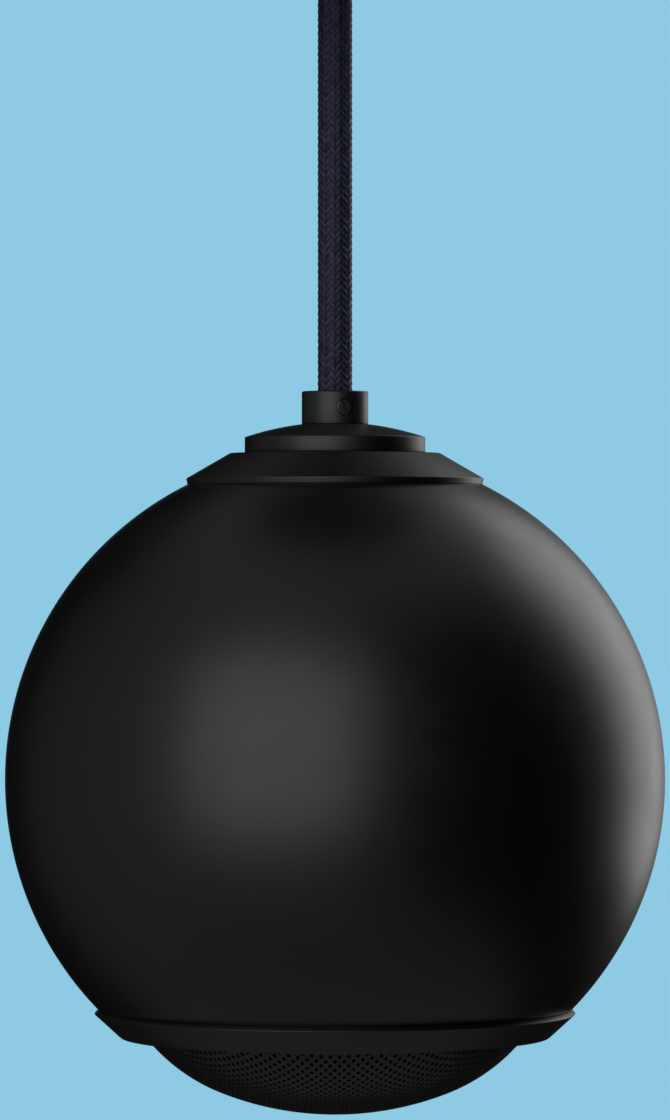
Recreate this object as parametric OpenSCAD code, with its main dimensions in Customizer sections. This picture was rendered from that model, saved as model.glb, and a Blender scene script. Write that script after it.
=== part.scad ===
// Pendant speaker: a steel sphere that hangs on a braided cord from a ceiling rose,
// with one cone driver that faces down behind a domed perforated grille.
// Origin at the ceiling plane on the cord's axis, +Z up, millimetres.

/* [Sphere] */
// Outer diameter of the spherical shell
sphere_d = 120; // [114:1:128]
// Wall of the shell
shell_wall = 1.5; // [1.2:0.1:2]
// Drop from the ceiling to the centre of the sphere
sphere_drop = 175; // [168:1:182]

/* [Top fitting] */
// Outer diameter of the conical base flange
flange_d = 54.16; // [50:0.1:58]
// Diameter at the top of the flange's bevel
flange_ledge_d = 38.2; // [36:0.1:42]
// Height of the flange's ledge above the shell at its outer edge
flange_h = 5.7; // [5.2:0.1:7]
// Height of the upright edge below the bevel
flange_edge_h = 1.08; // [0.6:0.05:1.6]
// Inner diameter of the flange
flange_bore = 25; // [22:0.5:28]
// Diameter of the cap disc on the flange
cap_d = 32.88; // [31:0.1:35]
// Height of the cap disc's upright wall
cap_wall_h = 2.8; // [2:0.1:4]
// Radius of the cap disc's domed top
cap_dome_r = 51.1; // [42:0.5:70]
// Diameter of the flange and cap recess that clears the crown of the shell
cap_recess_d = 25; // [22:0.5:28]

/* [Cord grips] */
// Diameter of a cord grip's barrel
grip_d = 12.1; // [11.4:0.1:13]
// Height of a cord grip's barrel
grip_h = 6; // [5.4:0.1:8]
// Diameter of the threaded stem
stem_d = 10; // [9.4:0.1:10.6]
// Length of the lower grip's stem
lower_stem_l = 13.6; // [13:0.1:18]
// Length of the upper grip's stem
upper_stem_l = 8; // [7:0.1:9]
// Bore of the cord grips
grip_bore = 6.7; // [6.6:0.1:7.4]
// Chamfer on the barrel's end edge
grip_edge = 0.35; // [0.2:0.05:0.6]
// Diameter of the grips' clamping screws
grip_screw_d = 3; // [2.6:0.1:3.4]
// Turn of the lower clamping screw from the front
grip_screw_turn = 17; // [0:1:90]
// Tilt of the lower clamping screw's slot
grip_slot_tilt = 23; // [0:1:90]
// Width across the flats of the stem nuts
nut_flats = 14; // [13:0.5:17]
// Height of the stem nuts
nut_h = 3; // [2:0.1:3.4]
// Diameter of the stem washers
washer_d = 18; // [16:0.5:20]
// Thickness of the stem washers
washer_t = 1.2; // [0.8:0.1:1.6]

/* [Cord] */
// Diameter of the braided cord
cord_d = 6.35; // [5.6:0.05:6.5]
// Diameter of one insulated core
core_d = 2; // [1.6:0.1:2.2]

/* [Ceiling rose] */
// Outer diameter of the ceiling cup
cup_d = 100; // [90:1:108]
// Height of the ceiling cup
cup_h = 25; // [24:0.5:30]
// Wall of the ceiling cup
cup_wall = 1; // [0.8:0.1:1.6]
// Radius of the cup's lower edge
cup_round = 5; // [3:0.5:8]
// Thickness of the ceiling bracket
bracket_t = 1.5; // [1.2:0.1:2]
// Width of the ceiling bracket
bracket_w = 18; // [16:0.5:20]
// Height of the bracket's folded ears
ear_h = 11; // [9.5:0.5:13]
// Width of the bracket's folded ears
ear_w = 12; // [10:0.5:14]
// Distance between the two ceiling screw holes
ceiling_pitch = 60; // [56:1:66]
// Diameter of the ceiling screw holes
ceiling_hole_d = 4.5; // [4:0.1:5.5]
// Diameter of the feed hole in the bracket
feed_hole_d = 12; // [9:0.5:13]
// Diameter of the cup's side screws
side_screw_d = 3; // [2.6:0.1:3.6]
// Distance of the side screws from the ceiling
side_screw_drop = 6.5; // [5.5:0.1:7]
// Length of the terminal block along the bracket
block_l = 14; // [12:0.5:15]
// Width of the terminal block
block_w = 16; // [15:0.5:18]
// Height of the terminal block
block_h = 10; // [8.5:0.5:12]
// Distance between the terminal block's two poles
pole_pitch = 9; // [8.5:0.1:10]

/* [Bezel and grille] */
// Height of the bezel below the shell's edge
bezel_h = 5.2; // [4.8:0.1:7]
// Radius of the bead round the bezel
bead_r = 0.57; // [0.4:0.01:0.8]
// Height of the bezel's bevel
bevel_h = 3.64; // [3:0.02:3.8]
// Width of the bezel's bevel
bevel_w = 3.86; // [3:0.02:4.4]
// Thickness of the bezel's lip under the grille's rim
lip_t = 2.24; // [1.8:0.02:2.6]
// Wall of the bezel's skirt
skirt_wall = 1.7; // [1.2:0.1:2.2]
// Height of the skirt above the shell's edge
skirt_h = 2.2; // [1.8:0.1:2.6]
// Thickness of the grille's sheet
grille_t = 0.8; // [0.6:0.1:1]
// Depth of the grille's apex below the shell's edge
grille_depth = 19.2; // [17:0.1:23]
// Radius of the grille's crown
crown_r = 56.4; // [52:0.5:62]
// Radius of the grille's shoulder
shoulder_r = 33; // [31:0.5:35]
// Distance along the dome from one ring of holes to the next
hole_pitch = 6.6; // [6:0.1:6.8]
// Diameter of the grille's holes
hole_d = 2.6; // [2:0.1:3.2]
// Rings of holes round the grille's centre hole
hole_rings = 5; // [3:1:5]

/* [Driver] */
// Outer diameter of the driver's flange
driver_d = 77.2; // [75.6:0.1:79]
// Thickness of the driver's flange
driver_flange_t = 2; // [1.8:0.1:2.4]
// Depth of the driver's basket behind its flange
basket_depth = 15; // [14:0.5:17]
// Wall of the driver's basket
basket_wall = 1.4; // [1.2:0.1:1.8]
// Diameter of the screw circle
screw_circle_d = 72.8; // [72.4:0.1:73.4]
// Diameter of the driver's screws
driver_screw_d = 2.5; // [2:0.1:2.6]
// Length of the driver's screws
driver_screw_l = 6; // [5:0.1:6.4]
// Thickness of the gasket behind the driver's flange
seal_t = 1; // [0.6:0.1:1.4]
// Thickness of the gasket in front of the driver's flange
front_gasket_t = 0.8; // [0.7:0.1:1.2]
// Height of the seat ring behind the seal
seat_ring_h = 3.4; // [3:0.1:4]
// Diameter of the cone
cone_d = 55; // [52:0.5:56]
// Depth of the cone
cone_depth = 10; // [9:0.1:10.4]
// Thickness of the cone's paper
cone_t = 0.5; // [0.4:0.05:0.8]
// Width of the surround's roll
roll_w = 4.6; // [4:0.1:5]
// Thickness of the surround
surround_t = 0.5; // [0.4:0.05:0.7]
// Diameter of the dust cap
dust_cap_d = 24; // [22:0.5:28]
// Height of the dust cap's dome
dust_cap_h = 4; // [3:0.1:5]
// Outer diameter of the voice coil's former
former_d = 20; // [18:0.5:20.6]
// Wall of the voice coil's former
former_t = 0.25; // [0.2:0.05:0.3]
// Radial depth of the winding
winding_t = 0.5; // [0.4:0.05:0.6]
// Height of the winding
winding_h = 6; // [5:0.1:7]
// Air gap on each side of the voice coil
air_gap = 0.4; // [0.35:0.05:0.6]
// Travel of the cone each way
cone_travel = 2.5; // [1.5:0.1:2.5]
// Diameter of the magnet
magnet_d = 56; // [50:1:60]
// Bore of the magnet
magnet_bore = 26; // [25:1:30]
// Thickness of the magnet
magnet_t = 11; // [9:0.5:13]
// Diameter of the front and back plates
plate_d = 52; // [50:1:54]
// Thickness of the front and back plates
plate_t = 4; // [3.5:0.1:5]

/* [Hidden] */
$fn = 96;

// Clearances
fit = 0.3;
seat_gap = 0.05;
thread_gap = 0.05;
hole_gap = 0.2;
cut = 1;

// Colours
BLACK = [0.08, 0.08, 0.09];
CORD_BLACK = [0.07, 0.07, 0.11];
STEEL = [0.62, 0.63, 0.65];
BRASS = [0.78, 0.62, 0.3];
DARK_STEEL = [0.3, 0.3, 0.32];

// Sphere and its lower opening, heights measured from the sphere's centre
sphere_z = -sphere_drop;
sphere_r = sphere_d / 2;
shell_in_r = sphere_r - shell_wall;
driver_r = driver_d / 2;
skirt_in_r = driver_r + fit;
skirt_r = skirt_in_r + skirt_wall;
edge_in_r = skirt_r + fit + hole_gap;
edge_z = -sqrt(pow(shell_in_r, 2) - pow(edge_in_r, 2));
edge_r = sqrt(pow(sphere_r, 2) - pow(edge_z, 2));

// Stack behind the bezel's lip, heights measured from the shell's lower edge
lip_top = -(bezel_h - lip_t);
rim_top = lip_top + grille_t;
driver_front = rim_top + front_gasket_t;
driver_back = driver_front + driver_flange_t;
seat_z = driver_back + seal_t;

// Grille: crown and shoulder arcs that meet in a common tangent, down to a mouth as wide as
// its flat rim leaves room for and the crown's arc can reach
rim_w = 2.2;
rim_r = driver_r - fit;
crown_z = crown_r - grille_depth;
mouth_reach = sqrt(pow(crown_r, 2) - pow(crown_z - lip_top, 2));
grille_mouth_r = min(rim_r - rim_w, mouth_reach - fit);
arc_step = crown_r - shoulder_r;
mouth_dist = norm([grille_mouth_r, crown_z - lip_top]);
mouth_turn = atan2(grille_mouth_r, crown_z - lip_top);
tangent_turn = mouth_turn - acos((pow(mouth_dist, 2) + pow(arc_step, 2) - pow(shoulder_r, 2))
    / (2 * mouth_dist * arc_step));
shoulder_x = arc_step * sin(tangent_turn);
shoulder_z = crown_z - arc_step * cos(tangent_turn);

// Top fitting, heights measured from the sphere's centre
flange_r = flange_d / 2;
flange_flare = 0.22;
flange_foot_r = flange_r - flange_flare;
flange_foot_z = sqrt(pow(sphere_r, 2) - pow(flange_foot_r, 2));
ledge_z = flange_foot_z + flange_h;
cap_z = ledge_z + 2 * seat_gap;
cap_r = cap_d / 2;
cap_dome_z = cap_z + cap_wall_h - sqrt(pow(cap_dome_r, 2) - pow(cap_r, 2));
grip_seat_z = cap_dome_z + sqrt(pow(cap_dome_r, 2) - pow(grip_d / 2, 2));
inner_seat_z = sqrt(pow(shell_in_r, 2) - pow(washer_d / 2, 2)) - seat_gap;
stem_hole_r = stem_d / 2 + hole_gap;
grip_screw_z = grip_h / 2;
grip_screw_sink = 0.15;
grip_slot_w = 0.4;

// Ceiling rose
cup_r = cup_d / 2;
cup_in_r = cup_r - cup_wall;
ear_x = sqrt(pow(cup_in_r, 2) - pow(ear_w / 2, 2)) - fit;
side_screw_l = 6;
block_gap = 2;
block_x = feed_hole_d / 2 + block_gap;
block_top = -bracket_t;
block_screw_d = 2;
pole_depth = 4.5;
pole_z = block_top - pole_depth;
pole_screw_d = 3;
pole_screw_sink = 1;
pole_slot_w = 0.6;
wire_hole_d = core_d + 2 * fit;
wire_in = 6.3;

// Driver, heights measured from the back face of its flange
flange_front = -driver_flange_t;
cone_r = cone_d / 2;
roll_out_r = cone_r + roll_w;
surround_rim_w = 1.8;
surround_rim_r = roll_out_r + surround_rim_w;
basket_r = roll_out_r + basket_wall;
seat_ring_in_r = basket_r + fit;
ledge_step = 5.55;
ledge_depth = basket_depth - ledge_step;
ledge_in_r = 21.5;
ledge_out_r = 26;
window_w = 20;
window_edge = 1.6;
window_top = ledge_depth - window_edge;
coil_r = former_d / 2 + winding_t;
pole_r = former_d / 2 - former_t - air_gap;
vent_r = 2.5;
plate_z = basket_depth + basket_wall;
magnet_z = plate_z + plate_t;
yoke_z = magnet_z + magnet_t;
driver_end = yoke_z + plate_t;
coil_z = plate_z + plate_t / 2 - winding_h / 2;
neck_r = former_d / 2 + seat_gap;
neck_z = flange_front + cone_depth;
driver_z = edge_z + driver_back;
cap_glue_z = cone_height(dust_cap_d / 2);
strip_w = 14;
strip_t = 1.2;
strip_l = 10;
strip_z = ledge_depth + basket_wall;
strip_y = ledge_in_r + basket_wall + fit;
tab_w = 4;
tab_t = 0.8;
tab_gap = 7;
tab_in = 9;
tab_out = 5;
tab_top = strip_z + strip_t + tab_t;
sleeve_wall = 0.7;
sleeve_start = 0.4;
sleeve_tail = 3;

// Damping liner: clear of the terminal tabs below and of the clamp nut above
liner_t = 8;
liner_rise = 16.1;
liner_low = driver_z + tab_top + liner_rise;
liner_drop = 22.5;
liner_top = shell_in_r - liner_drop;

// Routes of the cord and the rose's leads, hand-chosen points, and of the leads inside the
// sphere, as shares of the shell's inner radius
CORD_ROUTE = [[0, 0, -14], [0, 0, -30], [0, 0, -46], [0, 0, -62], [0, 0, -78], [0, 0, -94],
    [0, 0, -110], [0, 0, -128]];
ROSE_LEAD = [[0, 1.4, -13.9], [0, 1.4, -12], [0.6, 2.2, -9.6], [2.6, 3.6, -7.4], [5, 4.5, -6.2]];
INNER_LEAD = [[0.03, 0.085, 0.69], [0.034, 0.24, 0.615], [0.041, 0.46, 0.445],
    [0.048, 0.615, 0.17], [0.054, 0.684, -0.1], [0.058, 0.7, -0.342]];
CORD_END = CORD_ROUTE[len(CORD_ROUTE) - 1][2] - sphere_z;

// Height of the cone's front face at a radius, a shallow curve from neck to edge
function cone_height(r) =
    let (t = (cone_r - r) / (cone_r - neck_r)) flange_front + cone_depth * (t + 0.35 * t * (1 - t));

// Depth of the spider's corrugation after a number of waves
function ripple(waves) = 0.7 * (cos(360 * waves) - 1);

// Direction of a route at one of its points
function route_dir(p, i) =
    let (a = p[max(i - 1, 0)], b = p[min(i + 1, len(p) - 1)]) (b - a) / norm(b - a);

// Sideways directions along a route, each turned as little as possible from the one before
function side_dirs(p, i = 0, last = [1, 0, 0]) = i == len(p) ? [] :
    let (d = route_dir(p, i), s = last - (last * d) * d, u = s / norm(s))
    concat([u], side_dirs(p, i + 1, u));

// Tube of a round section swept along a route
module swept(p, d, sides) {
    n = len(p);
    sides_of = side_dirs(p);
    points = [for (i = [0:n - 1]) let (u = sides_of[i], v = cross(route_dir(p, i), u))
        for (k = [0:sides - 1]) p[i] + d / 2 * (cos(360 * k / sides) * u + sin(360 * k / sides) * v)];
    walls = [for (i = [0:n - 2], k = [0:sides - 1]) let (m = (k + 1) % sides)
        [i * sides + k, (i + 1) * sides + k, (i + 1) * sides + m, i * sides + m]];
    ends = [[for (k = [0:sides - 1]) k], [for (k = [sides - 1:-1:0]) (n - 1) * sides + k]];
    polyhedron(points, concat(walls, ends));
}

// Moves a piece from the sphere's centre to its place
module at_sphere() translate([0, 0, sphere_z]) children();

// Moves a piece from the back face of the driver's flange to its place
module at_driver() at_sphere() translate([0, 0, driver_z]) children();

// Flat ring that stands on z = 0
module ring(r, in_r, h) {
    difference() {
        cylinder(r = r, h = h);
        translate([0, 0, -cut]) cylinder(r = in_r, h = h + 2 * cut);
    }
}

// Slotted pan-head screw that points along -Z from the seat of its head
module pan_screw(d, l) {
    head_r = 0.95 * d;
    head_h = 0.65 * d;
    slot_w = 0.2 * d;
    difference() {
        union() {
            cylinder(r = head_r, h = head_h);
            translate([0, 0, -l]) cylinder(r = d / 2, h = l);
        }
        translate([-head_r - cut, -slot_w / 2, head_h / 2]) cube([2 * (head_r + cut), slot_w, head_h]);
    }
}

// Headless slotted screw that points along -Z from its slotted face
module set_screw(d, l, slot_w) {
    edge = 0.3;
    slot_depth = 0.8;
    difference() {
        union() {
            translate([0, 0, -l]) cylinder(r = d / 2, h = l - edge);
            translate([0, 0, -edge]) cylinder(r1 = d / 2, r2 = d / 2 - edge, h = edge);
        }
        translate([-d, -slot_w / 2, -slot_depth]) cube([2 * d, slot_w, slot_depth + cut]);
    }
}

// Cord grip with its barrel above z = 0 and its stem below
module grip(stem_l, screw_turn) {
    difference() {
        union() {
            cylinder(r = grip_d / 2, h = grip_h - grip_edge);
            translate([0, 0, grip_h - grip_edge])
                cylinder(r1 = grip_d / 2, r2 = grip_d / 2 - grip_edge, h = grip_edge);
            translate([0, 0, -stem_l]) cylinder(r = stem_d / 2, h = stem_l);
        }
        translate([0, 0, -stem_l - cut]) cylinder(r = grip_bore / 2, h = stem_l + grip_h + 2 * cut);
        translate([0, 0, grip_screw_z]) rotate([90, 0, screw_turn])
            cylinder(r = grip_screw_d / 2 + thread_gap, h = grip_d);
    }
}

// Clamping screw of a grip, in the grip's own frame
module clamping_screw(screw_turn, slot_tilt) {
    translate([0, 0, grip_screw_z]) rotate([90, 0, screw_turn])
        translate([0, 0, grip_d / 2 - grip_screw_sink]) rotate([0, 0, 90 + slot_tilt])
            set_screw(grip_screw_d, (grip_d - cord_d) / 2 - grip_screw_sink - seat_gap, grip_slot_w);
}

// Hexagon nut that stands on z = 0
module hex_nut(bore_r) {
    difference() {
        cylinder(r = nut_flats / sqrt(3), h = nut_h, $fn = 6);
        translate([0, 0, -cut]) cylinder(r = bore_r + thread_gap, h = nut_h + 2 * cut);
    }
}

module ceiling_bracket() color(STEEL) {
    difference() {
        union() {
            translate([-ear_x, -bracket_w / 2, -bracket_t]) cube([2 * ear_x, bracket_w, bracket_t]);
            for (side = [-1, 1]) translate([side * (ear_x - bracket_t / 2), 0, -ear_h / 2])
                cube([bracket_t, ear_w, ear_h], center = true);
        }
        for (side = [-1, 1]) {
            translate([side * ceiling_pitch / 2, 0, -bracket_t - cut])
                cylinder(r = ceiling_hole_d / 2, h = bracket_t + 2 * cut);
            translate([side * (ear_x + cut), 0, -side_screw_drop]) rotate([0, -90 * side, 0])
                cylinder(r = side_screw_d / 2 + thread_gap, h = bracket_t + 2 * cut);
            for (edge = [-1, 1]) translate([side * ear_x, edge * bracket_w / 2, -ear_h - cut])
                cylinder(r = (bracket_w - ear_w) / 2, h = ear_h + 2 * cut);
        }
        translate([0, 0, -bracket_t - cut]) cylinder(r = feed_hole_d / 2, h = bracket_t + 2 * cut);
        translate([block_x + block_l / 2, 0, -bracket_t - cut])
            cylinder(r = block_screw_d / 2 + thread_gap, h = bracket_t + 2 * cut);
    }
}

module ceiling_cup() color(BLACK) {
    in_round = cup_round - cup_wall;
    difference() {
        rotate_extrude() difference() {
            union() {
                translate([0, -cup_h]) square([cup_r - cup_round, cup_h]);
                translate([0, -cup_h + cup_round]) square([cup_r, cup_h - cup_round]);
                intersection() {
                    translate([cup_r - cup_round, -cup_h + cup_round]) circle(r = cup_round);
                    translate([0, -cup_h]) square([cup_r, cup_h]);
                }
            }
            union() {
                translate([0, -cup_h + cup_wall]) square([cup_in_r - in_round, cup_h]);
                translate([0, -cup_h + cup_round]) square([cup_in_r, cup_h]);
                intersection() {
                    translate([cup_r - cup_round, -cup_h + cup_round]) circle(r = in_round);
                    translate([0, -cup_h]) square([cup_r, cup_h]);
                }
            }
        }
        translate([0, 0, -cup_h - cut]) cylinder(r = stem_hole_r, h = cup_wall + 2 * cut);
        for (side = [-1, 1]) translate([side * (cup_in_r - cut), 0, -side_screw_drop])
            rotate([0, 90 * side, 0]) cylinder(r = side_screw_d / 2 + hole_gap, h = cup_wall + 2 * cut);
    }
}

module cup_screws() color(DARK_STEEL) {
    for (side = [-1, 1]) translate([side * (cup_r + seat_gap), 0, -side_screw_drop])
        rotate([0, 90 * side, 0]) pan_screw(side_screw_d, side_screw_l);
}

// Moves a piece from a pole of the terminal block to both poles
module at_poles() for (side = [-1, 1])
    translate([block_x + block_l / 2, side * pole_pitch / 2, block_top - block_h]) children();

module terminal_block() color([0.85, 0.85, 0.82]) {
    difference() {
        translate([block_x, -block_w / 2, block_top - block_h]) cube([block_l, block_w, block_h]);
        for (side = [-1, 1]) translate([block_x - cut, side * pole_pitch / 2, pole_z])
            rotate([0, 90, 0]) cylinder(r = wire_hole_d / 2, h = block_l + 2 * cut);
        at_poles() for (side = [-1, 1]) translate([side * block_l / 4, 0, -cut])
            cylinder(r = pole_screw_d / 2 + thread_gap, h = block_h - pole_depth + cut);
        translate([block_x + block_l / 2, 0, block_top - block_h - cut])
            cylinder(r = block_screw_d / 2 + hole_gap, h = block_h + 2 * cut);
    }
}

module terminal_screws() color(BRASS) {
    at_poles() for (side = [-1, 1]) translate([side * block_l / 4, 0, pole_screw_sink])
        mirror([0, 0, 1]) set_screw(pole_screw_d,
            block_h - pole_depth - core_d / 2 - pole_screw_sink - seat_gap, pole_slot_w);
}

module block_screw() color(STEEL) {
    translate([block_x + block_l / 2, 0, block_top - block_h - seat_gap]) mirror([0, 0, 1])
        pan_screw(block_screw_d, block_h + bracket_t);
}

module rose_leads() color([0.75, 0.12, 0.1]) {
    lead_in = [block_x - block_gap / 2, pole_pitch / 2, pole_z];
    wire_end = [block_x + wire_in, pole_pitch / 2, pole_z];
    for (side = [0, 1]) mirror([0, side, 0]) swept(concat(ROSE_LEAD, [lead_in, wire_end]), core_d, 8);
}

module rose_grip() color(BLACK)
    translate([0, 0, -cup_h]) rotate([180, 0, 0]) grip(upper_stem_l, 0);

module rose_grip_screw() color(STEEL)
    translate([0, 0, -cup_h]) rotate([180, 0, 0]) clamping_screw(0, 0);

module rose_washer() color(STEEL)
    translate([0, 0, -cup_h + cup_wall]) ring(washer_d / 2, stem_hole_r, washer_t);

module rose_nut() color(STEEL)
    translate([0, 0, -cup_h + cup_wall + washer_t]) hex_nut(stem_d / 2);

module cord() color(CORD_BLACK) swept(CORD_ROUTE, cord_d, 10);

module cord_grip() color(BLACK)
    at_sphere() translate([0, 0, grip_seat_z]) grip(lower_stem_l, grip_screw_turn);

module grip_screw() color(STEEL)
    at_sphere() translate([0, 0, grip_seat_z]) clamping_screw(grip_screw_turn, grip_slot_tilt);

module cap_disc() color(BLACK) at_sphere() {
    rotate_extrude() difference() {
        union() {
            translate([0, cap_z]) square([cap_r, cap_wall_h]);
            intersection() {
                translate([0, cap_dome_z]) circle(r = cap_dome_r);
                translate([0, cap_z]) square([cap_r, grip_seat_z - cap_z]);
            }
        }
        translate([0, cap_z - cut]) square([cap_recess_d / 2, sphere_r + seat_gap - cap_z + cut]);
        translate([0, cap_z - cut]) square([stem_hole_r, grip_seat_z - cap_z + 2 * cut]);
    }
}

module base_flange() color(BLACK) at_sphere() {
    rotate_extrude() difference() {
        polygon([[flange_bore / 2, 0], [flange_foot_r, 0], [flange_foot_r, flange_foot_z],
            [flange_r, flange_foot_z + flange_edge_h], [flange_ledge_d / 2, ledge_z],
            [flange_bore / 2, ledge_z]]);
        circle(r = sphere_r + seat_gap, $fn = 720);
    }
}

module shell() color(BLACK) at_sphere() {
    difference() {
        rotate_extrude() intersection() {
            difference() {
                circle(r = sphere_r);
                circle(r = shell_in_r);
            }
            translate([0, edge_z]) square([sphere_r + cut, sphere_d]);
        }
        cylinder(r = stem_hole_r, h = sphere_r + cut);
    }
}

module clamp_washer() color(STEEL)
    at_sphere() translate([0, 0, inner_seat_z - washer_t]) ring(washer_d / 2, stem_hole_r, washer_t);

module clamp_nut() color(STEEL)
    at_sphere() translate([0, 0, inner_seat_z - washer_t - nut_h]) hex_nut(stem_d / 2);

module seat_ring() color(DARK_STEEL) at_sphere() {
    setback = 0.6;
    groove_z = edge_z + skirt_h + hole_gap;
    face_z = edge_z + seat_z;
    difference() {
        rotate_extrude() intersection() {
            circle(r = shell_in_r - seat_gap);
            difference() {
                translate([seat_ring_in_r, edge_z + setback])
                    square([edge_r, seat_z + seat_ring_h - setback]);
                translate([0, edge_z - cut]) square([skirt_r + fit, groove_z - edge_z + cut]);
            }
        }
        driver_holes(face_z - cut, driver_screw_d / 2 + thread_gap);
    }
    difference() {
        translate([0, 0, face_z]) ring(skirt_in_r - 2 * seat_gap, seat_ring_in_r, groove_z - face_z);
        driver_holes(face_z - cut, driver_screw_d / 2 + thread_gap);
    }
}

// Four holes on the driver's screw circle, from a height upward
module driver_holes(z, r) for (i = [0:3]) rotate([0, 0, 45 + 90 * i])
    translate([screw_circle_d / 2, 0, z]) cylinder(r = r, h = seat_ring_h + 3 * cut);

module bezel() color(BLACK) at_sphere() translate([0, 0, edge_z]) {
    bead_x = edge_r - 0.02;
    groove_r = bead_x - 1.5 * bead_r;
    bevel_out = 0.17;
    bevel_r = edge_r + bevel_out;
    foot_r = bevel_r - bevel_w;
    foot_edge = 0.5;
    foot_z = -2 * bead_r - bevel_h;
    lip_in_r = grille_r(-bezel_h) + fit;
    rotate_extrude() polygon([[skirt_in_r, skirt_h], [skirt_r, skirt_h], [skirt_r, 0],
        [groove_r, 0], [groove_r, -bead_r], [bead_x, -bead_r], [bevel_r, -2 * bead_r],
        [foot_r, foot_z], [foot_r - foot_edge, -bezel_h], [lip_in_r, -bezel_h],
        [grille_r(lip_top) + fit, lip_top], [skirt_in_r, lip_top]]);
    rotate_extrude() translate([bead_x, -bead_r]) circle(r = bead_r);
}

// Radius of the grille's outer face at a height on its shoulder
function grille_r(z) = shoulder_x + sqrt(pow(shoulder_r, 2) - pow(shoulder_z - z, 2));

// Half outline of the domed grille, inset by a distance
module dome_outline(inset) {
    reach = 2 * crown_r;
    intersection() {
        translate([0, lip_top - reach]) square([reach, reach + grille_t]);
        union() {
            intersection() {
                translate([0, crown_z]) circle(r = crown_r - inset);
                polygon([[0, crown_z], [0, crown_z - reach],
                    [reach * tan(tangent_turn), crown_z - reach]]);
            }
            translate([shoulder_x, shoulder_z]) circle(r = shoulder_r - inset);
        }
    }
}

// Moves a hole to its place on the dome, square to the surface
module at_dome(s, turn) {
    crown_arc = crown_r * tangent_turn * PI / 180;
    rotate([0, 0, turn]) if (s < crown_arc) {
        translate([0, 0, crown_z]) rotate([0, 180 - s / crown_r * 180 / PI, 0])
            translate([0, 0, crown_r]) children();
    } else {
        tilt = tangent_turn + (s - crown_arc) / shoulder_r * 180 / PI;
        translate([shoulder_x, 0, shoulder_z]) rotate([0, 180 - tilt, 0])
            translate([0, 0, shoulder_r]) children();
    }
}

module grille() color(BLACK) at_sphere() translate([0, 0, edge_z]) {
    difference() {
        rotate_extrude() {
            difference() {
                dome_outline(0);
                dome_outline(grille_t);
            }
            translate([grille_r(lip_top) - grille_t, lip_top])
                square([rim_r - grille_r(lip_top) + grille_t, grille_t]);
        }
        for (n = [0:hole_rings], k = [0:max(6 * n, 1) - 1])
            at_dome(n * hole_pitch, 360 / max(6 * n, 1) * (k + (n % 2) / 2))
                translate([0, 0, -3 * grille_t]) cylinder(r = hole_d / 2, h = 5 * grille_t);
    }
}

module front_gasket() color([0.12, 0.12, 0.12])
    at_sphere() translate([0, 0, edge_z + rim_top]) ring(rim_r, surround_rim_r + fit, front_gasket_t);

module seal_gasket() color([0.15, 0.15, 0.15]) at_driver() {
    difference() {
        ring(skirt_in_r - fit, seat_ring_in_r, seal_t);
        driver_holes(-cut, driver_screw_d / 2 + hole_gap);
    }
}

module driver_frame() color(DARK_STEEL) at_driver() {
    difference() {
        rotate_extrude() polygon([[roll_out_r, flange_front], [driver_r, flange_front],
            [driver_r, 0], [basket_r, 0], [ledge_out_r, ledge_depth + basket_wall],
            [ledge_in_r + basket_wall, ledge_depth + basket_wall],
            [ledge_in_r + basket_wall, basket_depth], [ledge_in_r + basket_wall, plate_z],
            [magnet_bore / 2, plate_z], [magnet_bore / 2, basket_depth],
            [ledge_in_r, basket_depth], [ledge_in_r, ledge_depth],
            [ledge_out_r - basket_wall, ledge_depth], [roll_out_r, 0]]);
        for (i = [0:5]) rotate([0, 0, 30 + 60 * i])
            translate([ledge_in_r - cut, -window_w / 2, window_edge])
                cube([basket_r - ledge_in_r + 2 * cut, window_w, window_top - window_edge]);
        driver_holes(flange_front - cut, driver_screw_d / 2 + 2 * thread_gap);
        for (i = [0:3]) rotate([0, 0, 45 + 90 * i])
            translate([screw_circle_d / 2, 0, flange_front]) screw_head(seat_gap);
    }
}

// Countersunk head of a driver screw with its flat face at z = 0
module screw_head(grow) {
    head_r = driver_screw_d * 0.8;
    head_h = head_r * 0.7;
    translate([0, 0, -grow])
        cylinder(r1 = head_r + 2 * grow, r2 = driver_screw_d / 2 + grow, h = head_h);
}

module driver_screws() color(STEEL) at_driver() {
    cross_l = 2.4;
    cross_w = 0.5;
    cross_depth = 0.8;
    for (i = [0:3]) rotate([0, 0, 45 + 90 * i]) translate([screw_circle_d / 2, 0, flange_front])
        difference() {
            union() {
                screw_head(0);
                cylinder(r = driver_screw_d / 2, h = driver_screw_l);
            }
            for (turn = [0, 90]) rotate([0, 0, turn]) translate([-cross_l / 2, -cross_w / 2, -cut])
                cube([cross_l, cross_w, cross_depth + cut]);
        }
}

module surround() color([0.1, 0.1, 0.1]) at_driver() {
    roll_r = roll_w / 2;
    mid_r = cone_r + roll_r;
    glue_w = 1.6;
    rotate_extrude() {
        difference() {
            translate([mid_r, flange_front]) circle(r = roll_r + seat_gap);
            translate([mid_r, flange_front]) circle(r = roll_r + seat_gap - surround_t);
            translate([mid_r - roll_w, flange_front - seat_gap]) square([2 * roll_w, roll_w]);
        }
        translate([cone_r - glue_w, flange_front - surround_t])
            square([glue_w + surround_t - 2 * seat_gap, surround_t - seat_gap]);
        translate([roll_out_r + 2 * seat_gap - surround_t, flange_front - surround_t])
            square([surround_rim_w + surround_t - 2 * seat_gap, surround_t - seat_gap]);
    }
}

module cone() color([0.14, 0.14, 0.15]) at_driver() {
    steps = 8;
    radii = [for (i = [0:steps]) cone_r + (neck_r - cone_r) * i / steps];
    rotate_extrude() polygon(concat([for (r = radii) [r, cone_height(r)]],
        [for (i = [steps:-1:0]) [radii[i], cone_height(radii[i]) + cone_t]]));
}

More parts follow.
